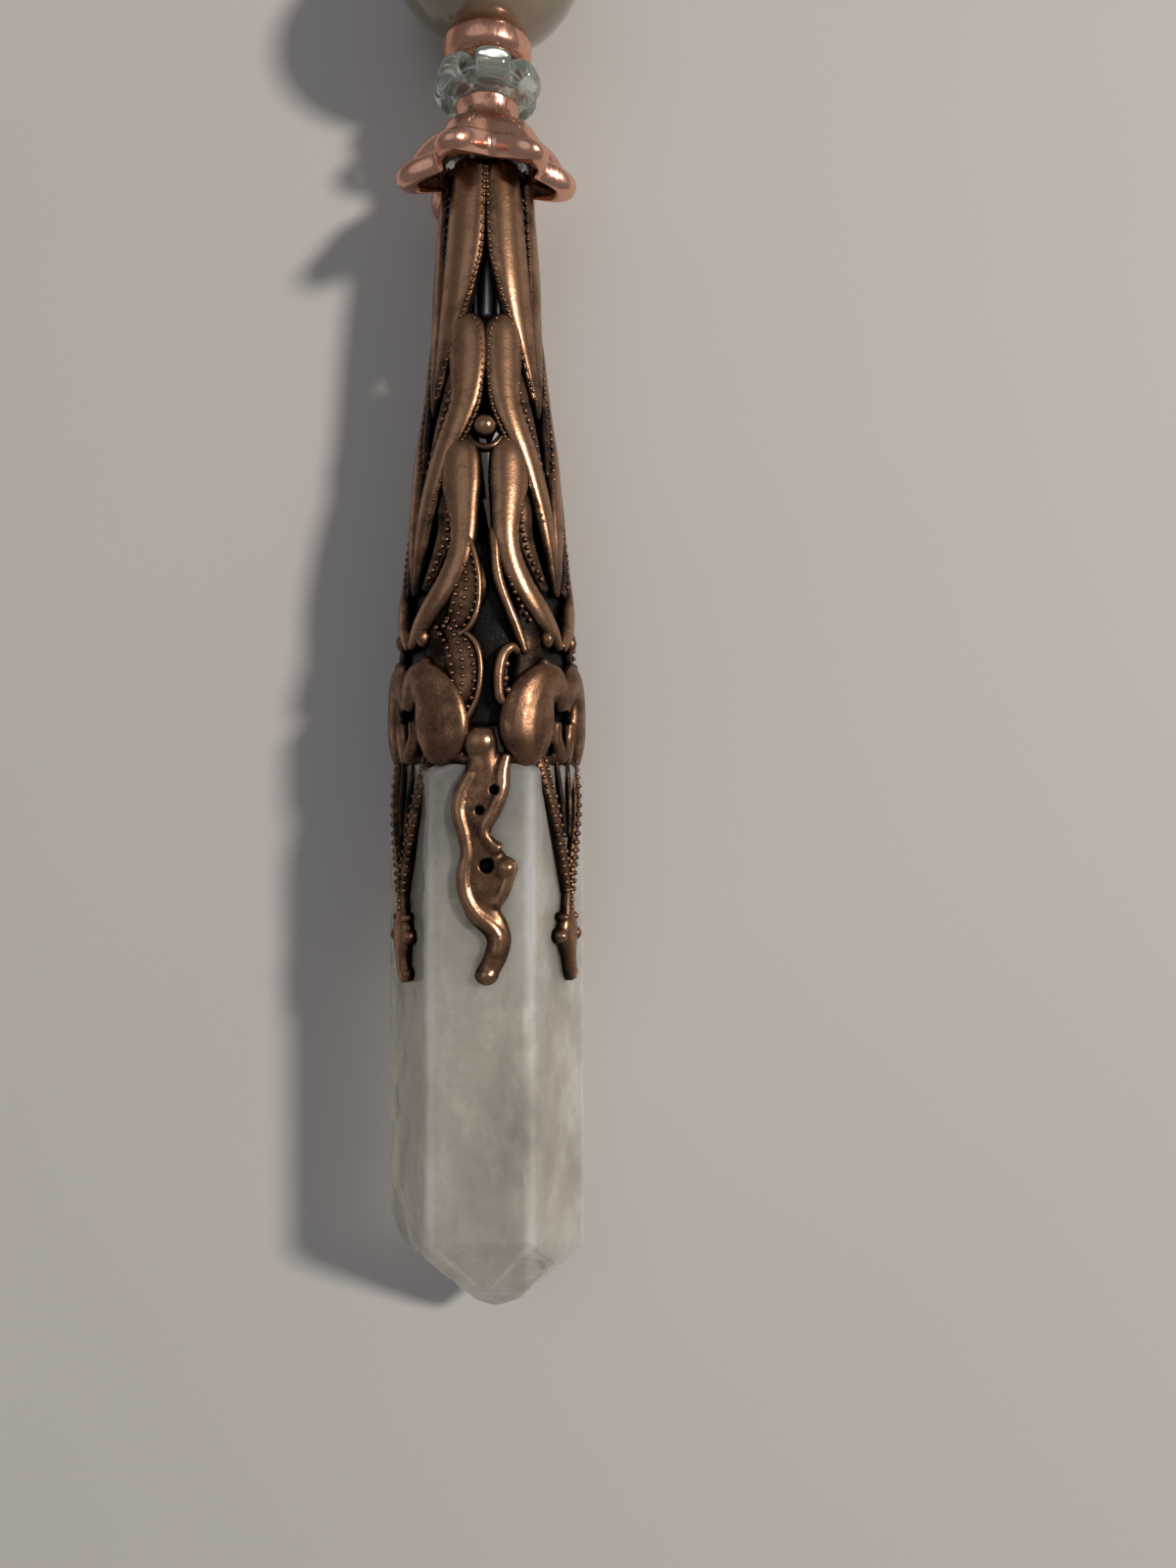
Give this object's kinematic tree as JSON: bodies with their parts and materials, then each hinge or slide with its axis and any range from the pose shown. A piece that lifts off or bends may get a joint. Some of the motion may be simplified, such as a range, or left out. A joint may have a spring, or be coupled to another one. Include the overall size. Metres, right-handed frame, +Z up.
{
  "type": "hair pin",
  "caption": "Hair pin: tapered copper pin with threaded beads, a flower cap and a filigree cone whose prongs hold a quartz point.",
  "frame": {"origin": "below the middle of the pin's whole length, level with the lowest point of the large bead, on which it lies", "axes": "+Y along the pin towards its sharp end, +Z up with the pin lying down, +X to the right"},
  "size_m": [0.015, 0.226, 0.015],
  "materials": {
    "polished_copper": "polished",
    "antique_copper": "satin, dark in the recesses",
    "steel_wire": "satin",
    "grey_stone": "gloss",
    "clear_glass": "gloss",
    "quartz": "gloss, milky inside",
    "dark_adhesive": "gloss"
  },
  "bodies": {
    "pin": {"pin_shaft": "polished_copper", "stem_wire": "steel_wire", "neck_adhesive": "dark_adhesive", "filigree_cone": "antique_copper", "crystal_adhesive": "dark_adhesive", "quartz_crystal": "quartz"},
    "inner_glass_bead": {"inner_glass_bead": "clear_glass"},
    "flower_cap": {"flower_cap": "polished_copper"},
    "glass_ring": {"ring_wire": "steel_wire", "glass_bead_1": "clear_glass", "glass_bead_2": "clear_glass", "glass_bead_3": "clear_glass", "glass_bead_4": "clear_glass", "glass_bead_5": "clear_glass", "glass_bead_6": "clear_glass"},
    "copper_ring": {"copper_ring": "polished_copper"},
    "large_bead": {"large_bead": "grey_stone"}
  },
  "joints": [
    {"name": "inner_bead_spin", "type": "hinge", "parent": "pin", "child": "inner_glass_bead", "pos_m": [0, -0.02715, 0.0075], "axis": [0, 1, 0], "continuous": true},
    {"name": "flower_cap_spin", "type": "hinge", "parent": "pin", "child": "flower_cap", "pos_m": [0, -0.02615, 0.0075], "axis": [0, 1, 0], "continuous": true},
    {"name": "glass_ring_spin", "type": "hinge", "parent": "pin", "child": "glass_ring", "pos_m": [0, -0.02171, 0.0075], "axis": [0, 1, 0], "continuous": true},
    {"name": "copper_ring_spin", "type": "hinge", "parent": "pin", "child": "copper_ring", "pos_m": [0, -0.01911, 0.0075], "axis": [0, 1, 0], "continuous": true},
    {"name": "large_bead_spin", "type": "hinge", "parent": "pin", "child": "large_bead", "pos_m": [0, -0.01075, 0.0075], "axis": [0, 1, 0], "continuous": true}
  ]
}
